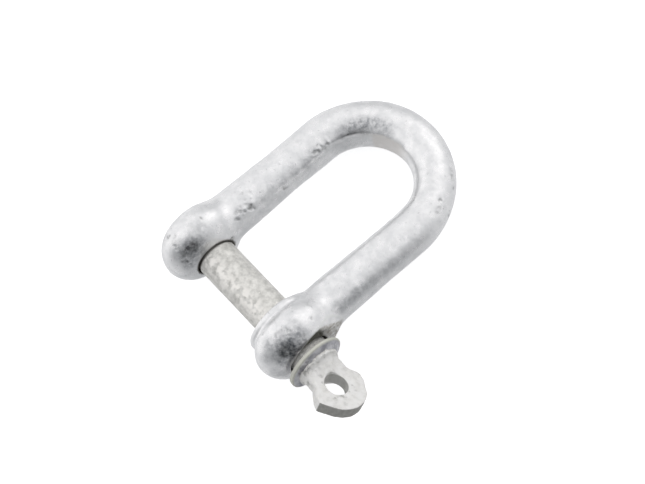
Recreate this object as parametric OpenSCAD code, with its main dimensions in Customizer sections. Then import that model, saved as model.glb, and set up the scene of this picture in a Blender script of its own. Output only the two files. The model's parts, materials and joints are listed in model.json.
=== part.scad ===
// Commercial pattern dee shackle with a screw collar pin.
// The origin is on the pin axis, midway between the two lugs. +X runs along the pin to its eye,
// +Y runs from the pin to the crown of the bow, and +Z is square to the plane of the bow.

/* [Shackle body] */
// Diameter of the forged bar
bar_d = 11; // [10:0.1:12]
// Clear width of the jaw, between the inner faces of the lugs
jaw_w = 22; // [20:0.5:26]
// Thickness of each lug along the pin
lug_t = 12; // [11:0.1:12.6]
// Outer diameter of each lug
lug_d = 21.2; // [20:0.1:24]
// Radius of the arc across each lug's rim
rim_r = 6.5; // [6.4:0.1:8]
// Diameter of the raised ring around the plain hole, on the jaw side
boss_d = 16.8; // [14:0.1:17.4]
// Inside length, from the pin axis to the crown
inside_len = 48.5; // [40:0.5:60]

/* [Pin] */
// Diameter of the pin's shank
pin_d = 10; // [9:0.1:10.4]
// Diameter of the plain hole that the shank passes in the near lug
hole_d = 11; // [10.6:0.1:12]
// Gap between the collar and the near lug, one turn short of home
collar_gap = 1.5; // [0.5:0.1:3]
// Diameter of the collar
collar_d = 15.2; // [13:0.1:16]
// Thickness of the collar
collar_t = 1.9; // [1.2:0.1:2.6]
// Radial clearance between the collar and the shank
collar_fit = 0.05; // [0.02:0.01:0.1]

/* [Eye] */
// Overall width of the flattened eye
eye_w = 14.2; // [12.6:0.1:14.8]
// Thickness of the flattened eye
eye_t = 3.4; // [2.4:0.1:4.2]
// Length of the eye, from the collar to its tip
eye_len = 14.8; // [14.2:0.1:18]
// Distance from the tip of the eye to the centre of its hole
eye_hole_in = 6.7; // [6:0.1:8]
// Diameter of the eye's hole
eye_hole_d = 5.2; // [4:0.1:6]
// Width of the neck between the collar and the eye
neck_w = 11; // [9:0.1:12]
// Turn of the eye about the pin, from the plane of the bow
eye_turn = -34; // [-90:1:90]

/* [Thread] */
// Pitch of the right-hand thread
pitch = 1.5; // [1.25:0.25:1.75]
// Depth of the pin's thread
thread_depth = 0.8; // [0.6:0.05:0.9]
// Clearance between the two threads, along the radius
thread_gap = 0.2; // [0.15:0.01:0.25]
// Depth of the plain mouth in front of the tapped hole
mouth_depth = 2; // [1.8:0.1:3]

/* [Hidden] */
$fn = 96;

// How far a cutting shape runs past the faces that it cuts
over = 1;

// Body: the necks are cones that run from inside the lugs to the legs
bar_r = bar_d / 2;
lug_r = lug_d / 2;
leg_x = (jaw_w + lug_t) / 2;
arc_y = inside_len - leg_x + bar_r;
inner_face = jaw_w / 2;
outer_face = inner_face + lug_t;
neck_r = bar_r + 1.5;
neck_from = 3;
neck_to = 15.5;
boss_t = 1.5;

// Pin: when it is screwed home, its tip is flush with the outer face of the threaded lug
pin_r = pin_d / 2;
collar_x = outer_face + collar_gap;
seat_x = collar_x + collar_t;
seat_r = pin_r + 0.7;
seat_t = 0.7;
tip_x = -outer_face + pitch;
shank_x = -inner_face - 0.3;

// Eye: a cone runs out from the seat into the flat, and the neck flares to the shoulders of a round end
taper_r = pin_r - 0.8;
taper_len = 5.5;
eye_r = eye_w / 2;
eye_end = seat_x + eye_len;
eye_x = eye_end - eye_r;
eye_hole_x = eye_end - eye_hole_in;
shoulder_x = eye_x - 0.8;
shoulder_y = sqrt(eye_r * eye_r - pow(eye_x - shoulder_x, 2));
flare_x = shoulder_x - 1.9;

// Thread: crest and root radii of the pin, the stretch that is tapped, and the bevel on the pin's tip
crest_r = pin_r - 0.15;
root_r = crest_r - thread_depth;
thread_end = shank_x + 0.2;
tap_from = -outer_face - over;
tap_to = -inner_face - mouth_depth + 0.2;
tip_r = root_r - 0.3;
tip_bevel = 1.3;

// Steps of the helix in each turn, and the share of the pitch that a crest and a root each take
steps = 24;
crest_share = 0.2;
root_share = 0.2;

// The four corners of one pitch of thread, as [distance along the pitch, radius]
function tooth(low, high) = [
    [-pitch * (1 - root_share) / 2, low],
    [-pitch * crest_share / 2, high],
    [pitch * crest_share / 2, high],
    [pitch * (1 - root_share) / 2, low]
];

// A solid screw along +Z: its teeth climb one pitch each turn, from z = 0 to z = turns * pitch
module screw(turns, low, high) {
    count = turns * steps;
    last = 4 * count;
    last_turn = 4 * (count - steps);
    points = [
        for (i = [0 : count])
            let (angle = 360 * i / steps)
                for (p = tooth(low, high))
                    [p[1] * cos(angle), p[1] * sin(angle), pitch * i / steps + p[0]]
    ];
    low_centre = len(points);
    high_centre = low_centre + 1;
    centres = [[0, 0, -pitch / 2], [0, 0, pitch * turns + pitch / 2]];
    strips = [
        for (i = [0 : count - 1], k = [0 : 2])
            [4 * i + k, 4 * i + k + 1, 4 * (i + 1) + k + 1, 4 * (i + 1) + k]
    ];
    roots = [
        for (i = [0 : count - steps - 1])
            [4 * i + 3, 4 * (i + steps), 4 * (i + steps + 1), 4 * (i + 1) + 3]
    ];
    low_cap = [
        for (i = [0 : steps - 1])
            [low_centre, 4 * i, 4 * (i + 1)]
    ];
    high_cap = [
        for (i = [count - steps : count - 1])
            [high_centre, 4 * (i + 1) + 3, 4 * i + 3]
    ];
    low_step = [[low_centre, 4 * steps, 3, 2, 1, 0]];
    high_step = [[high_centre, last_turn + 3, last, last + 1, last + 2, last + 3]];
    faces = concat(strips, roots, low_cap, high_cap, low_step, high_step);
    polyhedron(concat(points, centres), faces);
}

// Screw threads along +X, cut to the blank that is passed as a child
module threads(from, to, low, high) {
    turns = ceil((to - from) / pitch) + 2;
    intersection() {
        rotate([0, 90, 0])
            translate([0, 0, from - pitch])
                rotate([0, 0, 360 * (from - pitch) / pitch])
                    screw(turns, low, high);
        children();
    }
}

// A round bar along +X
module bar_x(radius, from, to) {
    translate([from, 0, 0])
        rotate([0, 90, 0])
            cylinder(r = radius, h = to - from);
}

// A cone along +X
module cone_x(from_r, to_r, from, to) {
    translate([from, 0, 0])
        rotate([0, 90, 0])
            cylinder(r1 = from_r, r2 = to_r, h = to - from);
}

// Half outline of a lug: two flat faces and one arc across its rim
module lug_outline() {
    translate([0, -lug_t / 2])
        square([lug_r - rim_r, lug_t]);
    intersection() {
        translate([lug_r - rim_r, 0])
            circle(r = rim_r);
        translate([lug_r - rim_r, -lug_t / 2])
            square([rim_r, lug_t]);
    }
}

// One lug with the neck that joins it to its leg; side is -1 for the threaded lug, 1 for the plain one
module lug(side) {
    translate([side * leg_x, 0, 0]) {
        rotate([0, 90, 0])
            rotate_extrude()
                lug_outline();
        intersection() {
            translate([0, neck_from, 0])
                rotate([-90, 0, 0])
                    cylinder(r1 = neck_r, r2 = bar_r, h = neck_to - neck_from);
            translate([-lug_t / 2, 0, -lug_r])
                cube([lug_t, neck_to, lug_d]);
        }
    }
}

module bow() {
    translate([0, arc_y, 0])
        rotate_extrude(angle = 180)
            translate([leg_x, 0])
                circle(r = bar_r);
    for (side = [-1, 1])
        translate([side * leg_x, 0, 0])
            rotate([-90, 0, 0])
                cylinder(r = bar_r, h = arc_y);
}

module shackle_body() {
    color("silver")
        difference() {
            union() {
                bow();
                lug(-1);
                lug(1);
                bar_x(boss_d / 2, inner_face, inner_face + boss_t);
            }
            bar_x(hole_d / 2, inner_face - over, outer_face + over);
            bar_x(hole_d / 2, -inner_face - mouth_depth, -inner_face + over);
            threads(tap_from, tap_to, root_r + thread_gap, crest_r + thread_gap)
                bar_x(pin_r + over, tap_from, tap_to);
        }
}

module pin_collar() {
    color("gainsboro")
        difference() {
            bar_x(collar_d / 2, collar_x, seat_x);
            bar_x(pin_r + collar_fit, collar_x - over, seat_x + over);
        }
}

// Plan of the eye: a straight neck that flares to the shoulders of a round end
module eye_plan() {
    intersection() {
        translate([eye_x, 0])
            circle(r = eye_r);
        translate([shoulder_x, -eye_r])
            square([eye_end - shoulder_x, 2 * eye_r]);
    }
    polygon([
        [seat_x, -neck_w / 2],
        [flare_x, -neck_w / 2],
        [shoulder_x, -shoulder_y],
        [shoulder_x, shoulder_y],
        [flare_x, neck_w / 2],
        [seat_x, neck_w / 2]
    ]);
}

module eye() {
    rotate([eye_turn, 0, 0])
        difference() {
            translate([0, 0, -eye_t / 2])
                linear_extrude(eye_t)
                    eye_plan();
            translate([eye_hole_x, 0, -eye_t])
                cylinder(d = eye_hole_d, h = 2 * eye_t);
        }
}

module screw_pin() {
    color("darkgray")
        union() {
            bar_x(pin_r, shank_x, seat_x);
            threads(tip_x, thread_end, root_r, crest_r)
                union() {
                    cone_x(tip_r, tip_r + tip_bevel, tip_x, tip_x + tip_bevel);
                    bar_x(pin_r + over, tip_x + tip_bevel, thread_end);
                }
            bar_x(seat_r, seat_x, seat_x + seat_t);
            cone_x(taper_r, eye_t / 2, seat_x, seat_x + taper_len);
            eye();
        }
}

shackle_body();
pin_collar();
screw_pin();
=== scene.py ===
import json
import math

import bpy
import numpy as np
from mathutils import Matrix, Vector


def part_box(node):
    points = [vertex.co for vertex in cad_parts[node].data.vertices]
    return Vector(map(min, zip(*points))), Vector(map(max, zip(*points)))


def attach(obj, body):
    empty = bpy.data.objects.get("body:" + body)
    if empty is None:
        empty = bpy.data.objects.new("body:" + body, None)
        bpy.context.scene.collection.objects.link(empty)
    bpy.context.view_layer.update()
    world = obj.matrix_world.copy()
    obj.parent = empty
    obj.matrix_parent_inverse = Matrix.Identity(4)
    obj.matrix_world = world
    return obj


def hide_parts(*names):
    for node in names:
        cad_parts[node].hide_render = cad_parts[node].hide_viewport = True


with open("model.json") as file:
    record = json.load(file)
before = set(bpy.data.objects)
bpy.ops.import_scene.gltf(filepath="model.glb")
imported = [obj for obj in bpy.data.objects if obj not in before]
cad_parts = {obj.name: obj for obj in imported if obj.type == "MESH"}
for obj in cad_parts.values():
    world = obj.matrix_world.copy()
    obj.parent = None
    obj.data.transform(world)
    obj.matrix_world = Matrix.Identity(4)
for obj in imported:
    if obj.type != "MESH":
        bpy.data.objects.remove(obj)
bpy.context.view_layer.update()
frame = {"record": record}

MM = 0.001


# ---------------------------------------------------------------- sizes, read from the frame, in mm


def read_sizes():
    """The object's sizes in mm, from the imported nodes' boxes and the record's mounts."""
    mounts = {m["name"]: m for m in frame["record"]["mounts"]}
    body_low, body_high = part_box("shackle_body")
    collar_low, collar_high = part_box("pin_collar")
    pin_low, pin_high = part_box("screw_pin")
    s = {}
    s["outer"] = body_high.x / MM
    s["inner"] = mounts["pin_span"]["dims"]["length_mm"] / 2
    s["lug_r"] = -body_low.y / MM
    s["inside"] = mounts["bow_bearing"]["pos_m"][1] / MM
    s["bar_r"] = (body_high.y / MM - s["inside"]) / 2
    s["leg_x"] = (s["outer"] + s["inner"]) / 2
    s["arc_y"] = s["inside"] - s["leg_x"] + s["bar_r"]
    s["pin_r"] = mounts["pin_span"]["dims"]["r_mm"]
    s["collar_x"] = collar_low.x / MM
    s["seat_x"] = collar_high.x / MM
    s["collar_r"] = collar_high.z / MM
    s["tip_x"] = pin_low.x / MM
    s["eye_end"] = pin_high.x / MM
    s["eye_t"] = mounts["eye_hole"]["dims"]["length_mm"]
    s["eye_n"] = np.array(mounts["eye_hole"]["axis"], float)
    turns_per_metre = frame["record"]["behaviour"]["couplings"][0]["ratio"] / (2 * math.pi)
    s["pitch"] = 1 / turns_per_metre / MM
    return s


S = read_sizes()
# Radius of the near lug's plain hole
PIN_HOLE_R = S["pin_r"] + 0.5
# The thread's depth, and how far its crests are inside the pin's radius, and the tapped ones outside
THREAD_DEPTH = 0.8
CREST_IN = 0.15
TAP_OUT = 0.05


# ---------------------------------------------------------------- noise


def gradient_table(seed):
    """Unit vectors in seeded directions, one for each hash of a noise cell's corner."""
    rng = np.random.default_rng(seed)
    g = rng.normal(size=(4096, 3))
    return g / np.linalg.norm(g, axis=1)[:, None]


def noise(p, seed):
    """Smooth gradient noise at points p, about -1 to 1."""
    table = gradient_table(seed)
    cell = np.floor(p).astype(np.int64)
    f = p - cell
    u = f * f * f * (f * (f * 6 - 15) + 10)
    total = np.zeros(len(p))
    for dx in (0, 1):
        for dy in (0, 1):
            for dz in (0, 1):
                x, y, z = cell[:, 0] + dx, cell[:, 1] + dy, cell[:, 2] + dz
                key = (x * 73856093) ^ (y * 19349663) ^ (z * 83492791)
                g = table[(key ^ (key >> 13)) & 4095]
                d = (
                    g[:, 0] * (f[:, 0] - dx)
                    + g[:, 1] * (f[:, 1] - dy)
                    + g[:, 2] * (f[:, 2] - dz)
                )
                w = (
                    (u[:, 0] if dx else 1 - u[:, 0])
                    * (u[:, 1] if dy else 1 - u[:, 1])
                    * (u[:, 2] if dz else 1 - u[:, 2])
                )
                total += w * d
    return total * 1.6


def layered(p, size, seed, layers=3):
    """Noise with details down to size / 2 ** (layers - 1) mm."""
    total, weight, scale = np.zeros(len(p)), 1.0, 1.0 / size
    for i in range(layers):
        total += weight * noise(p * scale, seed + i)
        scale *= 2.03
        weight *= 0.5
    return total


# ---------------------------------------------------------------- distance fields


def smooth_min(a, b, k):
    """The smaller of two distances, with a fillet of size k where they meet."""
    h = np.maximum(k - np.abs(a - b), 0) / k
    return np.minimum(a, b) - h * h * k / 4


def smooth_max(a, b, k):
    return -smooth_min(-a, -b, k)


def step(x, low, high):
    """0 below low, 1 above high, and eased in between."""
    t = np.clip((x - low) / (high - low), 0, 1)
    return t * t * (3 - 2 * t)


def capped(radial, x, low, high, edge):
    """Distance to a bar along X: radial is the distance to its side, and edge rounds its rims."""
    across = np.maximum(low - x, x - high) + edge
    radial = radial + edge
    outside = np.sqrt(np.maximum(radial, 0) ** 2 + np.maximum(across, 0) ** 2)
    return np.minimum(np.maximum(radial, across), 0) + outside - edge


def gradient(field, p, e=0.02):
    """Unit normals of a distance field at points p."""
    g = np.empty_like(p)
    for i in range(3):
        d = np.zeros(3)
        d[i] = e
        g[:, i] = field(p + d) - field(p - d)
    return g / np.maximum(np.linalg.norm(g, axis=1), 1e-9)[:, None]


def surface(field, low, high, cell):
    """The zero surface of a distance field as vertices and quads: surface nets, pulled onto it."""
    low, high = np.array(low, float), np.array(high, float)
    n = np.ceil((high - low) / cell).astype(int) + 1
    axes = [low[i] + cell * np.arange(n[i]) for i in range(3)]
    v = np.empty(n, np.float32)
    for i, x in enumerate(axes[0]):
        y, z = np.meshgrid(axes[1], axes[2], indexing="ij")
        p = np.stack([np.full(y.size, x), y.ravel(), z.ravel()], 1)
        v[i] = field(p).reshape(n[1], n[2])
    inside = v < 0
    m = n - 1
    count = np.zeros(m, np.int8)
    for a in (0, 1):
        for b in (0, 1):
            for c in (0, 1):
                count += inside[a : m[0] + a, b : m[1] + b, c : m[2] + c]
    active = (count > 0) & (count < 8)
    cells = np.argwhere(active)
    index = np.full(m, -1, np.int64)
    index[tuple(cells.T)] = np.arange(len(cells))
    total = np.zeros((len(cells), 3))
    hits = np.zeros(len(cells))
    for axis in range(3):
        others = [k for k in range(3) if k != axis]
        for a in (0, 1):
            for b in (0, 1):
                start = cells.copy()
                start[:, others[0]] += a
                start[:, others[1]] += b
                end = start.copy()
                end[:, axis] += 1
                va, vb = v[tuple(start.T)], v[tuple(end.T)]
                cross = (va < 0) != (vb < 0)
                t = np.where(cross, va / np.where(cross, va - vb, 1), 0)
                point = start + 0.0
                point[:, axis] += t
                total += point * cross[:, None]
                hits += cross
    points = low + cell * total / hits[:, None]
    quads = []
    for axis in range(3):
        u, w = [k for k in range(3) if k != axis]
        a = np.take(inside, range(0, n[axis] - 1), axis)
        b = np.take(inside, range(1, n[axis]), axis)
        edges = np.argwhere(a != b)
        edges = edges[(edges[:, u] > 0) & (edges[:, w] > 0)]
        edges = edges[(edges[:, u] < m[u]) & (edges[:, w] < m[w])]
        corners = []
        for du, dw in ((-1, -1), (0, -1), (0, 0), (-1, 0)):
            c = edges.copy()
            c[:, u] += du
            c[:, w] += dw
            corners.append(index[tuple(c.T)])
        q = np.stack(corners, 1)
        flip = inside[tuple(edges.T)] ^ (axis == 1)
        q[~flip] = q[~flip][:, ::-1]
        quads.append(q)
    quads = np.concatenate(quads)
    for _ in range(4):
        d = field(points)
        points = points - np.clip(d, -cell, cell)[:, None] * gradient(field, points)
    return points, quads


# ---------------------------------------------------------------- shackle body


# The real forging isn't quite even. Each lug's centre: outward along the pin, up the bow, square to it
LUG_PLACE = {1: (17.39, 0.27, -0.03), -1: (17.10, 0.20, -0.11)}
LUG_HALF = 6.0
# A lug's flat middle, the reach of its rounded rim, and how full the rim is outside and towards the jaw
LUG_CORE, LUG_ARC = 4.15, 6.6
LUG_OUT, LUG_IN = 6.26, 5.7
# The bar's radius, and how far its axis is from the middle plane and from the pin where the crown starts
BOW_R, BOW_X, BOW_Y = 5.42, 16.83, 36.96
# The round facing cut on the outside of the plain lug: its centre and radius, its depth and its slope
FACING_Y, FACING_Z, FACING_R = 2.9, -1.1, 8.4
FACING_DEPTH, FACING_SLOPE = 0.28, 0.035
FACING_FROM_X, FAR_FROM_CUT = 20, 9
# The raised ring around the plain hole: its radius, and how far it reaches from the jaw's face
RING_R, RING_FROM, RING_TO = 8.55, 0.2, 1.6
# The far lug's mouth: its depth, its gap to the pin, and its centre, a little off the pin's axis
MOUTH_DEPTH, MOUTH_GAP = 2, 0.16
MOUTH_Y, MOUTH_Z = -0.08, -0.03
# Above this height the legs are round; below it the lugs' flat faces cut them
FLATS_TOP = 22
# Keeps the steep thread's field from overstating a distance
THREAD_EASE = 0.75


def lug_field(p, side):
    """One round lug: a rim that is rounder towards the jaw than on the outside."""
    out, up, along = LUG_PLACE[side]
    x = side * p[:, 0] - out
    rho = np.hypot(p[:, 1] - up, p[:, 2] - along)
    half = np.where(x > 0, LUG_OUT, LUG_IN)
    e = np.hypot(np.maximum(rho - LUG_CORE, 0) / LUG_ARC, x / half)
    d = (e - 1) * np.minimum(LUG_ARC, half)
    limit = min(LUG_HALF, S["outer"] - out)
    return np.maximum(d, np.maximum(x - limit, -x - LUG_HALF))


def bow_field(p):
    """The half-round bow and its two legs, which thicken a little towards the lugs."""
    x, y, z = p.T
    near = x > 0
    down = np.clip(BOW_Y - y, 0, 60) / BOW_Y
    down = 1.12 * down * down / (down + 0.12)
    lean = np.where(near, -1.04, 0.26) * down
    twist = np.where(near, 0.13, 1.25) * down
    swell = 0.57 * np.clip((25.3 - y) / 22.2, 0, 1)
    leg = np.hypot(np.abs(x) - BOW_X - lean, z - twist)
    leg = np.hypot(leg, np.minimum(y, 0)) - BOW_R - swell
    up = np.maximum(y - BOW_Y, 0)
    turn = np.arctan2(up, x)
    ease = 1 - np.exp(-((np.sin(turn) / 0.25) ** 2))
    reach = BOW_X + ease * (0.12 * np.sin(turn) + 0.19 * np.sin(2 * turn))
    thin = 0.14 * np.sin(turn) + 0.21 * np.sin(2 * turn) + 0.09 * np.sin(3 * turn)
    thick = BOW_R - ease * thin
    crown = np.hypot(np.hypot(x, up) - reach, z) - thick
    return np.where(y > BOW_Y, crown, leg)


def thread_radius(x, y, z, root, crest):
    """Radius of a right-hand thread along X."""
    turn = np.arctan2(z, y) / (2 * math.pi)
    phase = (x / S["pitch"] - turn) % 1.0
    t = np.abs(phase - 0.5) * 2
    return root + (crest - root) * np.clip((t - 0.2) / 0.6, 0, 1)


def facing_cut(p):
    """Distance from the facing cut's round edge, and the X of its floor, deeper towards the leg."""
    edge = np.hypot(p[:, 1] - FACING_Y, p[:, 2] - FACING_Z) - FACING_R
    return edge, S["outer"] - FACING_DEPTH - FACING_SLOPE * p[:, 1]


def body_field(p):
    """The forged body: bow, two lugs, raised ring, facing cut, plain hole and tapped hole."""
    x, y, z = p.T
    rho = np.hypot(y, z)
    half = (S["outer"] - S["inner"]) / 2
    d = bow_field(p)
    for side, fillet in ((-1, 1.3), (1, 2.2)):
        d = smooth_min(d, lug_field(p, side), fillet)
    out = np.where(x > 0, S["outer"] - 0.02, S["outer"])
    into = np.where(x > 0, S["inner"] + 0.35, S["inner"] + 0.05)
    into = into - 1.4 * step(y, 9, FLATS_TOP)
    faces = np.maximum(np.abs(x) - out, into - np.abs(x))
    faces = np.where(y < FLATS_TOP, faces, -half)
    d = smooth_max(d, faces, 0.5)
    ring = np.hypot(y - 0.15, z) - RING_R
    ring = capped(ring, x, S["inner"] + RING_FROM, S["inner"] + RING_TO, 0.5)
    d = smooth_min(d, ring, 1.2)
    edge, floor = facing_cut(p)
    d = smooth_max(d, -np.maximum(edge, floor - x), 0.25)
    # Plain bore in the near lug and mouth of the far one, with worn edges
    near = rho - PIN_HOLE_R - 0.35 * step(np.abs(x - S["leg_x"]), half - 0.5, half + 0.2)
    d = smooth_max(d, -np.where(x > 0, near, 1e3), 0.3)
    mouth = np.hypot(y - MOUTH_Y, z - MOUTH_Z) - S["pin_r"] - MOUTH_GAP
    mouth = np.maximum(mouth, -S["inner"] - MOUTH_DEPTH - x)
    # Tapped right through, with a bevel where the pin's tip comes out
    bevel = 1.8 * step(-x, S["outer"] - 0.9, S["outer"] + 0.4)
    crest = S["pin_r"] + TAP_OUT
    root = crest - THREAD_DEPTH
    tooth = thread_radius(x, y, z, root, crest)
    tapped = (rho - np.maximum(tooth, root + bevel)) * THREAD_EASE
    far = np.where(x < 0, np.minimum(mouth, tapped), 1e3)
    return smooth_max(d, -far, 0.2)


def dents(p, count, seed, low, high, depth):
    """Small round pits (or lumps, where depth is negative) at seeded places on the surface."""
    rng = np.random.default_rng(seed)
    centres = p[rng.integers(0, len(p), count)]
    radii = rng.uniform(low, high, count)
    depths = rng.uniform(0.4, 1, count) * depth
    total = np.zeros(len(p))
    for c, r, h in zip(centres, radii, depths):
        near = np.abs(p[:, 1] - c[1]) < r
        q = p[near] - c
        t = np.clip(1 - (q * q).sum(1) / (r * r), 0, 1)
        total[near] -= h * t * t
    return total


# Marks on the forging, and two spots of painted shadow by the collar: x, y, z, radius, depth (negative
# for a lump) and how dark, in mm and 0 to 1
FORGING_MARKS_AND_SHADOW = [
    (-16.9, 2.7, 10.3, 0.55, 0.25, 0.8),
    (-19.9, -5.9, 7.9, 0.6, 0.25, 0.6),
    (-19.6, -5.4, 8.2, 0.6, 0.2, 0.5),
    (-18.1, -4.7, 9.3, 0.8, 0.3, 0.35),
    (-17.2, -5.6, 8.9, 0.9, -0.15, 0.2),
    (-16.2, -6.2, 8.5, 0.8, 0.25, 0.4),
    (-13.3, -3.1, 8.3, 1.1, 0.12, 0.25),
    (-13.3, -5.3, 7.1, 1.3, 0.12, 0.25),
    (-13.3, -6.6, 6.0, 0.9, 0.15, 0.35),
    (-12.3, -5.6, 4.9, 1.0, 0.1, 0.2),
    (-11.2, 5.3, 2.2, 0.9, 0.5, 0.9),
    (-16.5, 14.0, 6.5, 0.6, 0.15, 0.4),
    (-13.9, 13.2, 5.7, 0.7, 0.2, 0.5),
    (-12.9, 13.3, 4.8, 0.8, 0.3, 0.7),
    (-12.5, 13.9, 4.4, 0.5, 0.25, 0.6),
    (-13.9, 10.1, 5.9, 1.0, 0.15, 0.3),
    (-12.8, 9.2, 5.1, 0.8, 0.25, 0.5),
    (-13.7, 10.8, 5.7, 0.7, 0.15, 0.3),
    (-11.8, 22.9, 2.6, 0.8, 0.25, 0.7),
    (-12.1, 22.4, 3.4, 0.6, 0.15, 0.45),
    (-13.4, 36.4, 4.4, 1.0, -0.2, 0.0),
    (-13.0, 35.2, 4.2, 0.8, -0.2, 0.0),
    (-13.3, 33.9, 4.3, 0.8, 0.25, 0.5),
    (-12.8, 34.6, 3.9, 0.7, 0.2, 0.4),
    (-13.3, 37.9, 4.4, 0.9, -0.2, 0.0),
    (-12.9, 37.3, 4.0, 0.6, 0.15, 0.35),
    (-12.6, 36.0, 3.7, 0.7, 0.2, 0.45),
    (-13.8, 35.4, 4.8, 0.6, 0.15, 0.35),
    (-14.9, 13.6, 6.2, 0.5, 0.18, 0.3),
    (-15.4, 15.6, 6.1, 0.5, 0.18, 0.3),
    (-14.5, 15.2, 5.7, 0.5, -0.2, 0.0),
    (-13.4, 12.3, 5.4, 0.5, -0.2, 0.0),
    (-12.9, 11.7, 5.1, 0.5, 0.22, 0.5),
    (-13.3, 14.6, 5.2, 0.5, -0.2, 0.0),
    (-14.3, 11.6, 6.0, 0.5, 0.2, 0.4),
    (13.2, 53.8, 2.8, 0.8, 0.2, 0.35),
    (14.2, 53.1, 2.7, 0.7, 0.2, 0.35),
    (14.8, 52.6, 2.6, 0.7, 0.2, 0.4),
    (16.4, 51.3, 2.0, 0.7, 0.2, 0.45),
    (17.5, 46.4, 4.3, 0.7, 0.3, 0.6),
    (17.9, 46.9, 4.0, 0.5, -0.15, 0.0),
    (18.5, 45.1, 4.0, 0.8, 0.15, 0.35),
    (19.1, 43.9, 3.9, 0.7, 0.12, 0.3),
    (20.3, 45.8, 0.4, 0.8, 0.15, 0.4),
    (18.8, -0.8, 10.5, 0.7, 0.25, 0.4),
    (19.3, -1.0, 10.3, 0.6, -0.2, 0.0),
    (17.7, -2.0, 10.5, 0.6, 0.2, 0.4),
    (17.6, -3.0, 10.2, 1.0, 0.15, 0.3),
    (21.9, 0.6, 8.7, 0.9, 0.2, 0.4),
    (21.9, -3.2, 8.0, 1.0, 0.15, 0.5),
    (21.4, -4.6, 7.9, 0.9, 0.15, 0.4),
    (14.3, -5.2, 8.0, 0.6, 0.2, 0.4),
    (14.0, -5.7, 7.6, 0.5, 0.2, 0.4),
    (20.0, 5.3, 8.8, 0.7, 0.25, 0.5),
    (13.5, 3.0, 8.6, 0.7, 0.1, 0.2),
    (16.3, 6.9, 8.3, 0.7, 0.1, 0.2),
    # These two are painted shadow in the deep gap between the collar and the facing cut, set as dark pits
    (22.6, 4.6, 4.6, 1.1, 1.3, 1.0),
    (22.6, 6.4, 3.1, 0.9, 0.3, 0.45),
]


# Painted dark reflections on the zinc, where its gloss mirrors dark surroundings: x, y, z and radius in
# mm, and strength
PAINTED_REFLECTION_SPOTS = [
    (21.5, -2.8, 8.3, 6.2, 0.80),
    (21.8, -6.0, 6.4, 3.6, 0.50),
    (20.6, 0.4, 9.6, 3.8, 0.62),
    (22.3, 0.4, 8.0, 2.4, 0.40),
    (18.6, 1.2, 10.5, 2.4, 0.25),
    (17.4, -6.0, 8.6, 2.8, 0.40),
    (21.8, -8.2, 2.0, 3.2, 0.25),
    (18.6, -8.3, 6.0, 2.2, 0.25),
    (-13.2, -3.8, 7.7, 6.2, 0.60),
    (-12.4, -6.0, 5.2, 3.6, 0.55),
    (-14.9, 1.0, 10.1, 3.4, 0.30),
    (-20.6, -6.3, 6.8, 2.4, 0.25),
    (-13.2, 11.0, 5.4, 2.6, 0.30),
    (-13.3, 17.5, 4.7, 2.8, 0.26),
    (-13.3, 20.5, 4.7, 2.6, 0.26),
    (-13.1, 23.5, 4.4, 2.6, 0.32),
    (-13.1, 27.0, 4.2, 2.4, 0.34),
    (-12.8, 30.5, 4.0, 2.6, 0.34),
    (-13.0, 33.6, 4.4, 2.6, 0.42),
    (-12.9, 36.5, 4.1, 2.2, 0.25),
    (-12.5, 41.8, 4.8, 2.4, 0.35),
    (-11.9, 43.4, 4.8, 2.8, 0.50),
    (-11.2, 45.0, 4.9, 2.8, 0.60),
    (-10.4, 46.4, 4.9, 2.8, 0.64),
    (-9.4, 47.6, 5.0, 2.8, 0.64),
    (-8.2, 48.8, 5.0, 2.8, 0.60),
    (-6.7, 49.6, 5.0, 2.8, 0.50),
    (-5.0, 50.2, 4.9, 2.6, 0.38),
    (20.2, 12.0, 3.9, 2.8, 0.28),
    (20.4, 14.5, 3.8, 2.8, 0.32),
    (20.6, 17.0, 3.6, 2.8, 0.38),
    (20.7, 19.5, 3.6, 2.8, 0.28),
    (20.8, 22.0, 3.5, 2.6, 0.26),
    (20.9, 25.0, 3.4, 2.6, 0.22),
    (21.0, 28.0, 3.4, 2.6, 0.20),
    (21.2, 31.5, 3.3, 2.6, 0.18),
]


def painted_reflection_share(p):
    """Strength of the painted dark reflections, broken up into mottles of about a millimetre."""
    total = np.zeros(len(p))
    ragged = 0.16 * layered(p, 3.0, 101, 3)
    for x, y, z, r, strength in PAINTED_REFLECTION_SPOTS:
        q = p - (x, y, z)
        t = 1 - np.sqrt((q * q).sum(1)) / r + ragged
        total = np.maximum(total, strength * step(t, 0.0, 0.9))
    return total * (0.9 + 0.2 * layered(p, 1.1, 111, 2))
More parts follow.
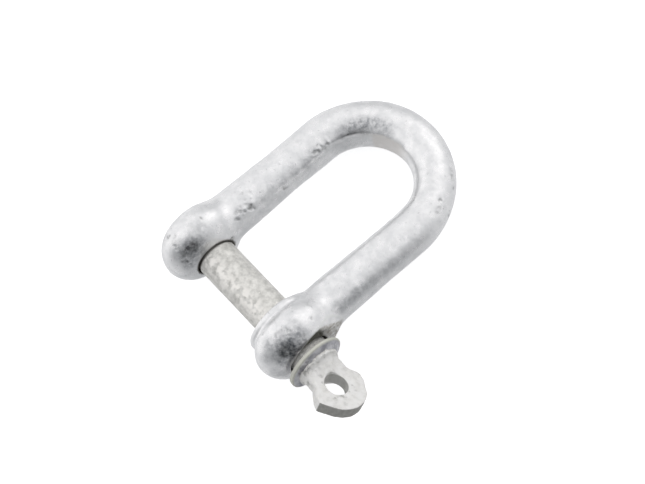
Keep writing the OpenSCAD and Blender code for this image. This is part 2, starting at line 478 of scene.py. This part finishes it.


# Marks on the pin's head, with the same columns: nicks and a crack in the eye, lumps around the neck, and
# painted shade at the neck's foot
HEAD_MARKS_AND_SHADE = [
    (35.3, 2.2, 0.5, 0.45, 0.15, 0.5),
    (36.0, 2.1, 0.7, 0.5, 0.2, 0.7),
    (36.7, 2.0, 0.9, 0.5, 0.2, 0.8),
    (36.2, 0.5, 1.8, 0.5, 0.2, 0.8),
    (35.9, -3.3, 4.3, 0.35, 0.1, 0.4),
    (35.9, -2.8, 4.0, 0.35, 0.15, 0.7),
    (35.9, -2.3, 3.6, 0.4, 0.2, 0.9),
    (36.1, -1.8, 3.3, 0.4, 0.2, 1.0),
    (36.2, -1.4, 3.0, 0.4, 0.2, 1.0),
    (36.6, -1.2, 2.9, 0.4, 0.2, 0.8),
    (37.1, -0.8, 2.6, 0.5, 0.15, 0.6),
    (31.1, -2.6, 3.7, 0.5, 0.15, 0.6),
    (29.4, -1.8, 3.4, 0.6, 0.15, 0.5),
    (30.3, 0.2, 2.2, 0.5, 0.1, 0.3),
    (37.2, -3.2, 4.3, 0.8, 0.1, 0.3),
    (38.3, -2.0, 3.5, 0.8, 0.1, 0.3),
    (26.9, 2.7, 4.8, 1.4, -0.55, 0.0),
    (26.9, 0.6, 5.5, 1.5, -0.45, 0.0),
    (27.3, -1.7, 4.3, 1.3, -0.5, 0.0),
    (28.3, -2.4, 3.7, 1.2, -0.4, 0.0),
    # These three are painted shade where the neck steps out of the collar, set as dark pits
    (27.0, -2.9, 4.9, 0.8, 0.4, 0.7),
    (29.1, -5.1, 3.4, 0.8, 0.3, 0.6),
    (27.1, -4.0, 4.6, 1.0, 0.3, 0.7),
]
# Marks on the collar's face and rim; the first three darken the face beside the neck as painted shadow
# under the neck's step, with a pit in it
COLLAR_MARKS_AND_SHADOW = [
    (26.1, -3.2, 5.7, 1.2, 0.15, 0.7),
    (26.3, -4.2, 4.5, 1.6, 0.12, 0.8),
    (26.2, -2.3, 6.1, 0.7, 0.2, 0.8),
    (25.9, 5.0, 4.0, 0.9, -0.15, 0.0),
    (26.2, -1.4, 5.9, 0.7, -0.3, 0.0),
]


def marks_and_shade(p, table):
    """Height and darkness of a table's marks and painted shade at points p."""
    height, dark = np.zeros(len(p)), np.zeros(len(p))
    rim = 0.55 * layered(p, 0.8, 71, 2)
    for x, y, z, r, depth, shade in table:
        near = np.abs(p[:, 1] - y) < 1.6 * r
        q = p[near] - (x, y, z)
        t = np.clip(1 - np.sqrt((q * q).sum(1)) / r + rim[near], 0, 1)
        height[near] -= 0.6 * depth * step(t, 0, 0.7)
        dark[near] = np.maximum(dark[near], 0.7 * shade * step(t, 0, 0.7))
    return height, dark


def crown_ways(p):
    """Where a point is on the bow: how far inside its axis, and the angle around the crown."""
    up = np.maximum(p[:, 1] - BOW_Y, 0)
    return BOW_X - np.hypot(p[:, 0], up), np.degrees(np.arctan2(up, p[:, 0]))


def trim_line(p):
    """Share of the strip inside the crown where the flash was trimmed off, and its half height."""
    inward, turn = crown_ways(p)
    along = step(turn, 55, 85) * step(p[:, 1], 24, 39)
    half = 3.5 + 0.25 * noise(p / 3.0, 81)
    return along * (inward > 1), half


def facing(p):
    """Share of the round facing cut on the outside of the plain lug, and distance to its edge."""
    edge, floor = facing_cut(p)
    outside = p[:, 0] > FACING_FROM_X
    inside = outside * step(-edge, -0.1, 0.15) * step(-np.abs(p[:, 0] - floor), -0.5, -0.2)
    return inside, np.where(outside, edge, FAR_FROM_CUT)


def body_relief(p):
    """Height of the forged and galvanised surface over the plain shape, in mm."""
    h = 0.06 * layered(p, 9.0, 11, 2)
    rough = step(layered(p, 11.0, 13, 2), -0.2, 0.7)
    h += (0.016 + 0.032 * rough) * layered(p, 2.4, 21, 2)
    h += (0.008 + 0.018 * rough) * layered(p, 0.9, 31, 1)
    share, half = trim_line(p)
    high = np.abs(p[:, 2])
    ridge = np.where(high < half, (high / half) ** 1.6, 1 - step(high, half, half + 2.4))
    h += 0.34 * share * ridge
    cut, edge = facing(p)
    h += 0.07 * np.exp(-(((edge - 0.2) / 0.25) ** 2)) * (1 - cut)
    h += cut * 0.16 * step(p[:, 1], 4.5, 7.5) * layered(p, 1.5, 91, 2)
    return h


def make_object(name, points, quads, normals, layers):
    """An object from points in mm, with its own normals and an attribute for each layer of stains,
    painted shade and painted highlights.
    """
    mesh = bpy.data.meshes.new(name)
    mesh.vertices.add(len(points))
    mesh.vertices.foreach_set("co", (points * MM).astype(np.float32).ravel())
    mesh.loops.add(quads.size)
    mesh.loops.foreach_set("vertex_index", quads.astype(np.int32).ravel())
    mesh.polygons.add(len(quads))
    starts = np.arange(0, quads.size, quads.shape[1], dtype=np.int32)
    mesh.polygons.foreach_set("loop_start", starts)
    mesh.polygons.foreach_set("use_smooth", np.ones(len(quads), bool))
    mesh.update(calc_edges=True)
    mesh.validate()
    for layer, values in layers.items():
        attribute = mesh.attributes.new(layer, "FLOAT", "POINT")
        attribute.data.foreach_set("value", values.astype(np.float32))
    mesh.normals_split_custom_set_from_vertices(normals.astype(np.float32).tolist())
    ob = bpy.data.objects.new(name, mesh)
    bpy.context.scene.collection.objects.link(ob)
    return ob


def mesh_normals(points, quads):
    """The smooth normals of a mesh of quads."""
    a, b, c, d = (points[quads[:, i]] for i in range(4))
    face = np.cross(c - a, d - b)
    normals = np.zeros_like(points)
    for i in range(4):
        np.add.at(normals, quads[:, i], face)
    return normals / np.maximum(np.linalg.norm(normals, axis=1), 1e-12)[:, None]


def relieved(points, quads, base_normals, height):
    """Points moved out along their normals by height, and the normals of the moved surface."""
    moved = points + base_normals * height[:, None]
    change = mesh_normals(moved, quads) - mesh_normals(points, quads)
    normals = base_normals + change
    return moved, normals / np.linalg.norm(normals, axis=1)[:, None]


def shackle_body(cell):
    """The forged body as a mesh of about cell mm, with relief, marks, and layers of stains, painted shade
    and painted dark reflections.
    """
    pad = 1.0
    low = [-S["outer"] - pad, -S["lug_r"] - pad, -S["lug_r"] - pad]
    high = [S["outer"] + pad, S["inside"] + 2 * S["bar_r"] + pad, S["lug_r"] + pad]
    points, quads = surface(body_field, low, high, cell)
    base = gradient(body_field, points)
    rho = np.hypot(points[:, 1], points[:, 2])
    # The inside of the holes, painted dark as shade and kept free of relief
    bore = step(-rho, -PIN_HOLE_R - 0.3, -PIN_HOLE_R)
    height, dark = marks_and_shade(points, FORGING_MARKS_AND_SHADOW)
    height += body_relief(points) + dents(points, 70, 5, 0.35, 0.8, 0.06)
    height += dents(points, 30, 6, 0.5, 1.4, -0.05)
    height = height * (1 - bore)
    cut, edge = facing(points)
    tongue = step(points[:, 1], 4.6, 6.4)
    share, half = trim_line(points)
    _, turn = crown_ways(points)
    strip = share * step(-np.abs(points[:, 2]), -half - 0.2, -half + 0.2)
    brown = strip * step(-turn, -128, -123) * step(turn, 70, 95)
    lip = np.exp(-(((edge - 0.12) / 0.2) ** 2)) * (1 - cut)
    moved, normals = relieved(points, quads, base, height)
    layers = {
        "bore": bore,
        "dark": dark,
        # Painted dark reflections on the lugs, legs and crown
        "smudge": painted_reflection_share(points),
        # The facing cut, which the material paints near black as shade
        "cut": cut * (1 - tongue),
        "tongue": 0.8 * cut * tongue,
        "brown": brown,
        "lip": lip,
    }
    return make_object("forged_body", moved, quads, normals, layers)


# ---------------------------------------------------------------- pin


def eye_axes():
    """The eye's own axes: across it, and square to its flat."""
    n = S["eye_n"] / np.linalg.norm(S["eye_n"])
    across = np.cross(n, [1.0, 0, 0])
    return across, n


def polygon_field(x, y, corners):
    """Signed distance to a closed polygon, negative inside."""
    best = np.full(len(x), 1e9)
    sign = np.ones(len(x))
    n = len(corners)
    for i in range(n):
        ax, ay = corners[i]
        bx, by = corners[(i + 1) % n]
        ex, ey = bx - ax, by - ay
        wx, wy = x - ax, y - ay
        t = np.clip((wx * ex + wy * ey) / (ex * ex + ey * ey), 0, 1)
        best = np.minimum(best, (wx - ex * t) ** 2 + (wy - ey * t) ** 2)
        up = (ay <= y) & (by > y)
        down = (ay > y) & (by <= y)
        side = ex * wy - ey * wx
        sign = np.where((up & (side > 0)) | (down & (side < 0)), -sign, sign)
    return sign * np.sqrt(best)


# The real eye is a little off the pin's axis. Its centre: along the pin, across its flat, square to it
EYE_X, EYE_W, EYE_N = 33.9, -1.18, 0.2
EYE_R, EYE_T, NECK_HALF = 6.78, 3.25, 5.46
# The eye's oval hole: its centre along the pin and across the flat, and its two radii
HOLE_X, HOLE_W = 33.15, -1.62
HOLE_RX, HOLE_RW = 2.9, 2.6
# Where the head starts to lean off the axis, and the cone between the seat and the flat
HEAD_X = 20
TAPER_R, TAPER_LEN = 4.2, 5.5


def eye_outline():
    """The eye seen square to its flat: a flared neck, a sheared corner, a round end and a shoulder."""
    arc = [
        (EYE_X + EYE_R * math.cos(a), EYE_R * math.sin(a))
        for a in np.radians(np.linspace(-45, 62, 15))
    ]
    neck = NECK_HALF
    corner = [(30.9, -neck), (31.9, -6.3), (33.4, -7.25), (35.2, -7.6)]
    shoulder = [(35.3, 6.95), (33.7, 7.3), (32.5, 7.0), (31.4, 6.1), (30.2, neck)]
    return [(S["seat_x"], -neck), *corner, *arc, *shoulder, (S["seat_x"], neck)]


def head_shift(x):
    """How far the head is off the pin's axis at x, as a share of the eye's own offset."""
    return np.clip((x - HEAD_X) / (EYE_X - HEAD_X), 0, 1.2)


def head_place(p):
    """Where a point is from the head's own axis: across the eye's flat, and square to it."""
    across, n = eye_axes()
    off = head_shift(p[:, 0])
    return p @ across - EYE_W * off, p @ n - EYE_N * off


def hole_place(p):
    """Where a point is from the middle of the eye's hole: along the pin, and across the flat."""
    return p[:, 0] - HOLE_X, p @ eye_axes()[0] - HOLE_W


def eye_field(p):
    """The flat plate of the eye, and the hole that is cut through it."""
    x = p[:, 0]
    u, v = head_place(p)
    outline = polygon_field(x, u, eye_outline())
    # The forged side is well rounded, the sheared end is sharp
    sheared = step(x - 0.35 * u, EYE_X + 1.5, EYE_X + 4.5)
    forged = 0.75 * step(u, 1.0, 5.0) + 0.45 * step(-u, 1.0, 4.0)
    round_edge = 0.45 + forged * (1 - sheared)
    round_edge -= 0.25 * sheared
    thick = np.abs(v) - EYE_T / 2
    a, b = outline + round_edge, thick + round_edge
    plate = np.minimum(np.maximum(a, b), 0) + np.hypot(np.maximum(a, 0), np.maximum(b, 0))
    plate -= round_edge
    # Distance to the oval hole, to first order
    along, over = hole_place(p)
    ratio = np.hypot(along / HOLE_RX, over / HOLE_RW)
    slope = np.hypot(along / HOLE_RX / HOLE_RX, over / HOLE_RW / HOLE_RW)
    hole = ratio * (ratio - 1) / np.maximum(slope, 1e-6)
    return plate, hole


def pin_field(p):
    """The pin: shank, thread, seat, the cone between seat and eye, and the eye with its hole."""
    x, y, z = p.T
    rho = np.hypot(y, z)
    shank_x = -S["inner"] - 0.3
    shank = capped(rho - S["pin_r"], x, shank_x, S["seat_x"], 0.15)
    crest = S["pin_r"] - CREST_IN
    root = crest - THREAD_DEPTH
    bevel = root - 0.3 + (x - S["tip_x"])
    tooth = np.minimum(thread_radius(x, y, z, root, crest), bevel)
    ends = np.maximum(S["tip_x"] - x, x - shank_x - 0.4)
    thread = np.maximum((rho - tooth) * THREAD_EASE, ends)
    d = np.minimum(shank, thread)
    rho = np.hypot(*head_place(p))
    seat_x = S["seat_x"]
    seat = capped(rho - S["pin_r"] - 0.5, x, seat_x - 0.3, seat_x + 0.6, 0.3)
    share = np.clip((x - seat_x) / TAPER_LEN, 0, 1)
    taper_r = TAPER_R + (S["eye_t"] / 2 - TAPER_R) * share
    taper = np.maximum(rho - taper_r, np.maximum(seat_x - x, x - seat_x - TAPER_LEN)) * 0.9
    plate, hole = eye_field(p)
    head = smooth_min(seat, taper, 0.8)
    head = smooth_min(head, plate, 1.0)
    head = smooth_max(head, -hole, 0.35)
    return np.minimum(d, head)


def screw_pin(cell):
    """The pin as a mesh of about cell mm, with its thread, grain, nicks, and layers of stains, painted
    shade and a painted highlight.
    """
    # Half the width of the space that holds the eye
    reach = EYE_R - EYE_W + 0.14
    low = [S["tip_x"] - 0.6, -reach, -reach]
    high = [S["eye_end"] + 0.6, reach, reach]
    points, quads = surface(pin_field, low, high, cell)
    base = gradient(pin_field, points)
    thread = step(-points[:, 0], S["inner"] - 0.2, S["inner"] + 0.6)
    free = 1 - thread
    x = points[:, 0]
    head = step(x, S["seat_x"], S["seat_x"] + 0.6)
    height = free * (0.03 * layered(points, 1.1, 41, 2) - 0.03)
    coarse = 0.12 * layered(points, 2.4, 51, 2)
    height += head * (coarse + 0.04 * layered(points, 0.8, 55, 1) - 0.06)
    bumps, nicks_and_shade = marks_and_shade(points, HEAD_MARKS_AND_SHADE)
    height += bumps
    height = np.where(x > S["eye_end"] - 0.3, np.minimum(height, 0), height)
    u, v = head_place(points)
    edge = polygon_field(x, u, eye_outline())
    turn = np.degrees(np.arctan2(u, x - EYE_X))
    flank = step(edge, -0.45, -0.2) * (1 - step(np.abs(v), 1.35, 1.6))
    sheared = flank * step(turn, -82, -79) * (1 - step(turn, 5, 40)) * (x > EYE_X - 1)
    along, over = hole_place(points)
    hole = np.hypot(along / HOLE_RX, over / HOLE_RW)
    wall = head * (1 - step(hole, 1.06, 1.16)) * (1 - step(np.abs(v), 1.4, 1.6))
    moved, normals = relieved(points, quads, base, height)
    pale = 0.75 + 0.5 * layered(points, 1.6, 121, 3) + 2 * np.maximum(bumps, 0)
    pale = head * np.clip(pale, 0, 1)
    side = np.degrees(np.arctan2(points[:, 2], -points[:, 1]))
    # A painted highlight: a pale streak along the lit side of the shank
    streak = np.exp(-(((side - 62) / 26) ** 2)) * free * (1 - head)
    streak = streak * step(layered(points, 1.3, 131, 3), -0.3, 0.3)
    mottle = np.clip(0.86 + 0.12 * layered(points, 0.7, 141, 2), 0, 1)
    layers = {
        "bore": thread,
        "steel": np.maximum(sheared, 0.7 * wall) * mottle,
        "dark": 0.8 * nicks_and_shade,
        "pale": pale,
        "streak": streak,
    }
    return make_object("screw_pin_zinc", moved, quads, normals, layers)


# The ring's radius, its axis, which is a little off the pin's, and the X and tilt of its rim's front
COLLAR_R, COLLAR_Y, COLLAR_Z = 7.45, -0.2, 0.42
RIM_X, RIM_TILT = 25.6, 0.035


def collar_radii(p):
    """Distance from the pin's axis, and from the ring's own axis."""
    inner = np.hypot(p[:, 1], p[:, 2])
    return inner, np.hypot(p[:, 1] - COLLAR_Y, p[:, 2] - COLLAR_Z)


def collar_field(p):
    """The collar: a thin ring whose face slopes up from the rim to the seat."""
    x = p[:, 0]
    inner, outer = collar_radii(p)
    slope = (COLLAR_R - 0.1 - outer) / 2.2
    rim_x = RIM_X - RIM_TILT * p[:, 1]
    front = rim_x + (S["seat_x"] + 0.1 - rim_x) * np.clip(slope, 0, 1)
    side = capped(outer - COLLAR_R, x, S["collar_x"] + 0.15, S["seat_x"] + 0.2, 0.3)
    d = smooth_max(side, (x - front) * 0.9, 0.25)
    return smooth_max(d, S["pin_r"] + 0.05 - inner, 0.1)


def pin_collar(cell):
    """The collar ring as a mesh of about cell mm."""
    reach = S["collar_r"] + 0.6
    low = [S["collar_x"] - 0.6, -reach, -reach]
    high = [S["seat_x"] + 0.6, reach, reach]
    points, quads = surface(collar_field, low, high, cell)
    base = gradient(collar_field, points)
    inner, outer = collar_radii(points)
    height = step(inner, S["pin_r"] + 0.3, S["pin_r"] + 0.8)
    height *= 0.06 * layered(points, 2.0, 61, 2) - 0.04
    bumps, nicks_and_shade = marks_and_shade(points, COLLAR_MARKS_AND_SHADOW)
    height += bumps
    moved, normals = relieved(points, quads, base, height)
    layers = {"rim": step(outer, 6.9, 7.3), "dark": nicks_and_shade}
    return make_object("collar_ring", moved, quads, normals, layers)


# ---------------------------------------------------------------- materials


def node(tree, kind, **inputs):
    """A new node with its inputs set by name."""
    made = tree.nodes.new(kind)
    for key, value in inputs.items():
        made.inputs[key.replace("_", " ")].default_value = value
    return made


def spread(tree, value, low, high, to_low=0.0, to_high=1.0):
    """Map a value's range onto another, clamped."""
    made = tree.nodes.new("ShaderNodeMapRange")
    made.inputs["From Min"].default_value = low
    made.inputs["From Max"].default_value = high
    made.inputs["To Min"].default_value = to_low
    made.inputs["To Max"].default_value = to_high
    tree.links.new(value, made.inputs["Value"])
    return made.outputs["Result"]


def layer_value(tree, name):
    """One of the mesh's stain layers, as a socket."""
    made = tree.nodes.new("ShaderNodeAttribute")
    made.attribute_name = name
    return made.outputs["Fac"]


def blended(tree, base, colour, share):
    """A colour laid over another by a share from 0 to 1; base is a colour or a socket."""
    made = tree.nodes.new("ShaderNodeMix")
    made.data_type = "RGBA"
    if isinstance(base, tuple):
        made.inputs["A"].default_value = (*base, 1)
    else:
        tree.links.new(base, made.inputs["A"])
    made.inputs["B"].default_value = (*colour, 1)
    tree.links.new(share, made.inputs["Factor"])
    return made.outputs["Result"]


def chain(tree, kind, *values):
    """A math node over numbers and sockets."""
    made = tree.nodes.new("ShaderNodeMath")
    made.operation = kind
    for i, v in enumerate(values):
        if isinstance(v, (int, float)):
            made.inputs[i].default_value = v
        else:
            tree.links.new(v, made.inputs[i])
    return made.outputs[0]


# The stains, painted dark reflections and painted shade that fine noise breaks up
BROKEN_LAYERS = ("smudge", "tongue", "dark")


def zinc(name, colours, rough, metallic, grain, stains_and_painted_light, finer=1.0):
    """Galvanised steel: mottled zinc with fine grain, and stains, painted shade, painted dark reflections
    and a painted highlight from the mesh's layers.

    colours are bright, dull and speckle, rough is a range, grain is the bump's depth in mm, and each
    stain, painted shade and painted highlight is a layer's name, its colour, the roughness it adds and
    the metallic share it takes.
    """
    material = bpy.data.materials.new(name)
    material.use_nodes = True
    tree = material.node_tree
    shader = tree.nodes["Principled BSDF"]
    place = tree.nodes.new("ShaderNodeTexCoord")
    blotch = node(tree, "ShaderNodeTexNoise", Scale=260.0 * finer, Detail=5.0, Roughness=0.62)
    fine = node(tree, "ShaderNodeTexNoise", Scale=1500.0, Detail=3.0, Roughness=0.6)
    speck = node(tree, "ShaderNodeTexNoise", Scale=900.0 * finer, Detail=2.0, Roughness=0.5)
    spangle = node(tree, "ShaderNodeTexVoronoi", Scale=520.0)
    ragged = node(tree, "ShaderNodeTexNoise", Scale=1100.0, Detail=4.0, Roughness=0.65)
    for n in (blotch, fine, speck, spangle, ragged):
        tree.links.new(place.outputs["Object"], n.inputs["Vector"])
    bright, dull, speckle = colours
    colour = blended(tree, bright, dull, spread(tree, blotch.outputs["Fac"], 0.38, 0.64))
    colour = blended(tree, colour, speckle, spread(tree, speck.outputs["Fac"], 0.66, 0.78))
    roughness = spread(tree, blotch.outputs["Fac"], 0.3, 0.7, rough[0], rough[1])
    facet = spread(tree, spangle.outputs["Distance"], 0.0, 1.0, -0.04, 0.05)
    roughness = chain(tree, "ADD", roughness, facet)
    metal = metallic
    broken = spread(tree, ragged.outputs["Fac"], 0.36, 0.62, 0.25, 1.35)
    for layer, stain_and_light_colour, extra_rough, less_metal in stains_and_painted_light:
        share = layer_value(tree, layer)
        if layer in BROKEN_LAYERS:
            share = chain(tree, "MULTIPLY", share, broken)
        colour = blended(tree, colour, stain_and_light_colour, share)
        roughness = chain(tree, "ADD", roughness, chain(tree, "MULTIPLY", share, extra_rough))
        metal = chain(tree, "SUBTRACT", metal, chain(tree, "MULTIPLY", share, less_metal))
    tree.links.new(colour, shader.inputs["Base Color"])
    tree.links.new(roughness, shader.inputs["Roughness"])
    if isinstance(metal, (int, float)):
        shader.inputs["Metallic"].default_value = metal
    else:
        tree.links.new(metal, shader.inputs["Metallic"])
    bump = tree.nodes.new("ShaderNodeBump")
    bump.inputs["Strength"].default_value = 1.0
    bump.inputs["Distance"].default_value = grain * MM
    tree.links.new(fine.outputs["Fac"], bump.inputs["Height"])
    tree.links.new(bump.outputs["Normal"], shader.inputs["Normal"])
    return material


def body_zinc():
    """Bright, smooth hot-dip zinc with stained pits, painted dark reflections and a painted shadow spot,
    a facing cut painted near black as shade with a brown-grey tongue, and a bore painted near black as
    shade.
    """
    colours = ((0.90, 0.90, 0.90), (0.77, 0.775, 0.78), (0.60, 0.605, 0.61))
    stains_and_painted_light = [
        # Painted dark reflection, blue-grey like the dark surroundings the gloss mirrors
        ("smudge", (0.15, 0.162, 0.178), 0.0, 0.0),
        # Dark pits, and painted shadow in the gap between the collar and the facing cut
        ("dark", (0.06, 0.065, 0.06), 0.2, 0.3),
        ("brown", (0.82, 0.80, 0.78), 0.2, 0.4),
        # Painted shade: the facing cut lies in the collar's shadow
        ("cut", (0.14, 0.14, 0.115), 0.35, 0.4),
        ("tongue", (0.46, 0.44, 0.40), 0.3, 0.4),
        ("lip", (0.85, 0.86, 0.84), 0.05, 0.0),
        # Painted shade inside the holes and in the gap around the pin
        ("bore", (0.11, 0.105, 0.095), 0.25, 0.3),
    ]
    return zinc("body_zinc", colours, (0.23, 0.37), 0.95, 0.04, stains_and_painted_light, 1.5)


def pin_zinc():
    """Dull, granular grey zinc; the end of the eye is bare sheared steel."""
    colours = ((0.82, 0.81, 0.775), (0.60, 0.595, 0.565), (0.97, 0.96, 0.92))
    stains_and_painted_light = [
        ("pale", (0.82, 0.815, 0.80), 0.0, 0.25),
        # Painted highlight along the lit side of the shank
        ("streak", (0.96, 0.94, 0.90), -0.1, 0.0),
        ("steel", (0.27, 0.27, 0.25), 0.2, 0.3),
        # Dark nicks and a crack, and painted shade at the neck's foot
        ("dark", (0.12, 0.12, 0.11), 0.2, 0.2),
        ("bore", (0.25, 0.24, 0.22), 0.1, 0.0),
    ]
    return zinc("pin_zinc", colours, (0.5, 0.75), 0.6, 0.14, stains_and_painted_light, 2.4)


def collar_zinc():
    """Grey zinc with a paler, rubbed rim."""
    colours = ((0.60, 0.60, 0.62), (0.34, 0.34, 0.37), (0.74, 0.74, 0.70))
    stains_and_painted_light = [
        ("rim", (0.62, 0.62, 0.56), 0.1, 0.1),
        # Dark pits, and painted shadow under the neck's step
        ("dark", (0.16, 0.15, 0.17), 0.1, 0.0),
    ]
    return zinc("collar_zinc", colours, (0.35, 0.6), 0.8, 0.06, stains_and_painted_light, 1.6)


# ---------------------------------------------------------------- stage


# How far under the lugs the floor is, in mm, and half its width, in metres
FLOOR_GAP, FLOOR_HALF = 0.32, 3.0


def floor_material():
    """White paper: overexposed to the camera, and plain for the light that bounces off it."""
    material = bpy.data.materials.new("floor_white")
    material.use_nodes = True
    tree = material.node_tree
    tree.nodes.clear()
    out = tree.nodes.new("ShaderNodeOutputMaterial")
    seen = tree.nodes.new("ShaderNodeBsdfDiffuse")
    seen.inputs["Color"].default_value = (0.9, 0.9, 0.9, 1)
    glow = tree.nodes.new("ShaderNodeEmission")
    glow.inputs["Strength"].default_value = 0.6
    both = tree.nodes.new("ShaderNodeAddShader")
    dim = tree.nodes.new("ShaderNodeBsdfDiffuse")
    dim.inputs["Color"].default_value = (0.8, 0.8, 0.8, 1)
    path = tree.nodes.new("ShaderNodeLightPath")
    mix = tree.nodes.new("ShaderNodeMixShader")
    tree.links.new(seen.outputs[0], both.inputs[0])
    tree.links.new(glow.outputs[0], both.inputs[1])
    tree.links.new(path.outputs["Is Camera Ray"], mix.inputs["Fac"])
    tree.links.new(dim.outputs[0], mix.inputs[1])
    tree.links.new(both.outputs[0], mix.inputs[2])
    tree.links.new(mix.outputs[0], out.inputs["Surface"])
    return material


def white_floor():
    """A white floor just below the lugs, tilted to rise with the bow towards its crown."""
    reach = S["leg_x"] + S["arc_y"]
    tilt = math.asin((S["lug_r"] - S["bar_r"]) / reach)
    normal = Vector((0, -math.sin(tilt), math.cos(tilt)))
    low_z = -(S["lug_r"] + FLOOR_GAP) * MM
    mesh = bpy.data.meshes.new("floor")
    half = FLOOR_HALF
    corners = [(-half, -half, 0), (half, -half, 0), (half, half, 0), (-half, half, 0)]
    mesh.from_pydata(corners, [], [(0, 1, 2, 3)])
    ob = bpy.data.objects.new("floor", mesh)
    bpy.context.scene.collection.objects.link(ob)
    ob.rotation_euler = (tilt, 0, 0)
    ob.location = normal * low_z
    mesh.materials.append(floor_material())
    ob.visible_glossy = False


# Soft cards around the object: azimuth and elevation in degrees, and how much each adds or takes away
CARDS = [
    (155, 60, 0.10),
    (15, 50, 0.15),
    (-120, 40, 0.30),
    (100, 35, 0.40),
    (-35, 25, -0.60),
    (-175, 20, 0.15),
    (-90, 10, -0.30),
    (135, 5, -0.15),
    (-5, -5, -0.30),
    (-140, -10, 0.20),
    (165, -25, 0.10),
    (-55, -20, -0.10),
    (-25, -60, -0.25),
]
# The light between the cards, how narrow a card is, and the strength of it all
CARD_BASE, CARD_NARROW, CARD_GAIN = 0.62, 8.0, 1.25
# The tint of the light, from dark to bright
SHADES = [
    (0.0, (0.0, 0.0, 0.0)),
    (0.3, (0.293, 0.299, 0.308)),
    (0.7, (0.697, 0.698, 0.708)),
    (1.0, (1.0, 0.990, 0.994)),
]


def card_light(tree, direction):
    """An even light with one soft lobe, brighter or darker, for each card."""
    total = CARD_BASE
    for azimuth, elevation, weight in CARDS:
        a, e = math.radians(azimuth), math.radians(elevation)
        dot = tree.nodes.new("ShaderNodeVectorMath")
        dot.operation = "DOT_PRODUCT"
        across = math.cos(e)
        dot.inputs[1].default_value = (across * math.cos(a), across * math.sin(a), math.sin(e))
        tree.links.new(direction, dot.inputs[0])
        power = chain(tree, "MULTIPLY_ADD", dot.outputs["Value"], CARD_NARROW, -CARD_NARROW)
        total = chain(tree, "MULTIPLY_ADD", chain(tree, "EXPONENT", power), weight, total)
    return total


def studio_world():
    """Soft studio light from the cards, and plain white to the camera."""
    world = bpy.data.worlds.new("studio")
    bpy.context.scene.world = world
    world.use_nodes = True
    tree = world.node_tree
    tree.nodes.clear()
    out = tree.nodes.new("ShaderNodeOutputWorld")
    place = tree.nodes.new("ShaderNodeTexCoord")
    total = card_light(tree, place.outputs["Generated"])
    ramp = tree.nodes.new("ShaderNodeValToRGB")
    stops = ramp.color_ramp.elements
    for stop, (at, shade) in zip((stops[0], stops[1]), (SHADES[0], SHADES[-1])):
        stop.position = at
        stop.color = (*shade, 1)
    for at, shade in SHADES[1:-1]:
        stops.new(at).color = (*shade, 1)
    sky = tree.nodes.new("ShaderNodeBackground")
    sky.inputs["Strength"].default_value = CARD_GAIN
    plain = tree.nodes.new("ShaderNodeBackground")
    plain.inputs["Color"].default_value = (1, 1, 1, 1)
    path = tree.nodes.new("ShaderNodeLightPath")
    mix = tree.nodes.new("ShaderNodeMixShader")
    tree.links.new(total, ramp.inputs["Fac"])
    tree.links.new(ramp.outputs["Color"], sky.inputs["Color"])
    tree.links.new(path.outputs["Is Camera Ray"], mix.inputs["Fac"])
    tree.links.new(sky.outputs[0], mix.inputs[1])
    tree.links.new(plain.outputs[0], mix.inputs[2])
    tree.links.new(mix.outputs[0], out.inputs["Surface"])


# The one lamp, in metres and watts
KEY_PLACE, KEY_TARGET = (-0.35, 0.45, 0.55), (0, 0.02, 0)
KEY_SIZE, KEY_POWER = (0.6, 0.6), 1


def softbox(name, place, target, size, power):
    """A square area light, left out of the metal's reflections."""
    light = bpy.data.lights.new(name, "AREA")
    light.shape = "RECTANGLE"
    light.size, light.size_y = size
    light.energy = power
    ob = bpy.data.objects.new(name, light)
    ob.visible_glossy = False
    bpy.context.scene.collection.objects.link(ob)
    ob.location = place
    direction = Vector(target) - Vector(place)
    ob.rotation_euler = direction.to_track_quat("-Z", "Y").to_euler()


# The camera: degrees about X, Y and Z, metres from its target, the direction it looks in, lens and sensor
CAMERA_TURN = (-23.277, -9.627, -48.821)
CAMERA_AWAY = 0.378502
CAMERA_AIM = (0.00173, -0.01080, -1.0)
CAMERA_LENS, CAMERA_SENSOR = 89.302, 36.0
TARGET_Y = 23


def camera():
    """The camera, 0.38 m from the middle of the shackle, above its eye's side."""
    rx, ry, rz = (math.radians(a) for a in CAMERA_TURN)
    turn = Matrix.Rotation(rx, 3, "X") @ Matrix.Rotation(ry, 3, "Y")
    turn = turn @ Matrix.Rotation(rz, 3, "Z")
    axes = turn.transposed()
    target = Vector((0, TARGET_Y * MM, 0))
    data = bpy.data.cameras.new("camera")
    data.sensor_width = CAMERA_SENSOR
    data.lens = CAMERA_LENS
    data.clip_start, data.clip_end = 0.01, 20
    ob = bpy.data.objects.new("camera", data)
    bpy.context.scene.collection.objects.link(ob)
    place = target + axes @ Vector((0, 0, CAMERA_AWAY))
    aim = axes @ Vector(CAMERA_AIM)
    nudge = (axes @ Vector((0, 0, -1))).rotation_difference(aim)
    ob.matrix_world = Matrix.Translation(place) @ nudge.to_matrix().to_4x4() @ axes.to_4x4()
    bpy.context.scene.camera = ob


# ---------------------------------------------------------------- the scene


FINE_CELLS = (0.3, 0.18, 0.15)


def build():
    """The three pieces with their materials, each on its body and in place of its CAD node."""
    body_cell, pin_cell, collar_cell = FINE_CELLS
    body = shackle_body(body_cell)
    pin = screw_pin(pin_cell)
    collar = pin_collar(collar_cell)
    body.data.materials.append(body_zinc())
    pin.data.materials.append(pin_zinc())
    collar.data.materials.append(collar_zinc())
    for piece, body_name, node_name, slot in (
        (body, "bow", "shackle_body", "body_zinc"),
        (collar, "collar", "pin_collar", "collar_zinc"),
        (pin, "pin", "screw_pin", "pin_zinc"),
    ):
        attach(piece, body_name)
        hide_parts(node_name)


build()
white_floor()
studio_world()
softbox("key", KEY_PLACE, KEY_TARGET, KEY_SIZE, KEY_POWER)
camera()
bpy.context.scene.view_settings.view_transform = "Standard"
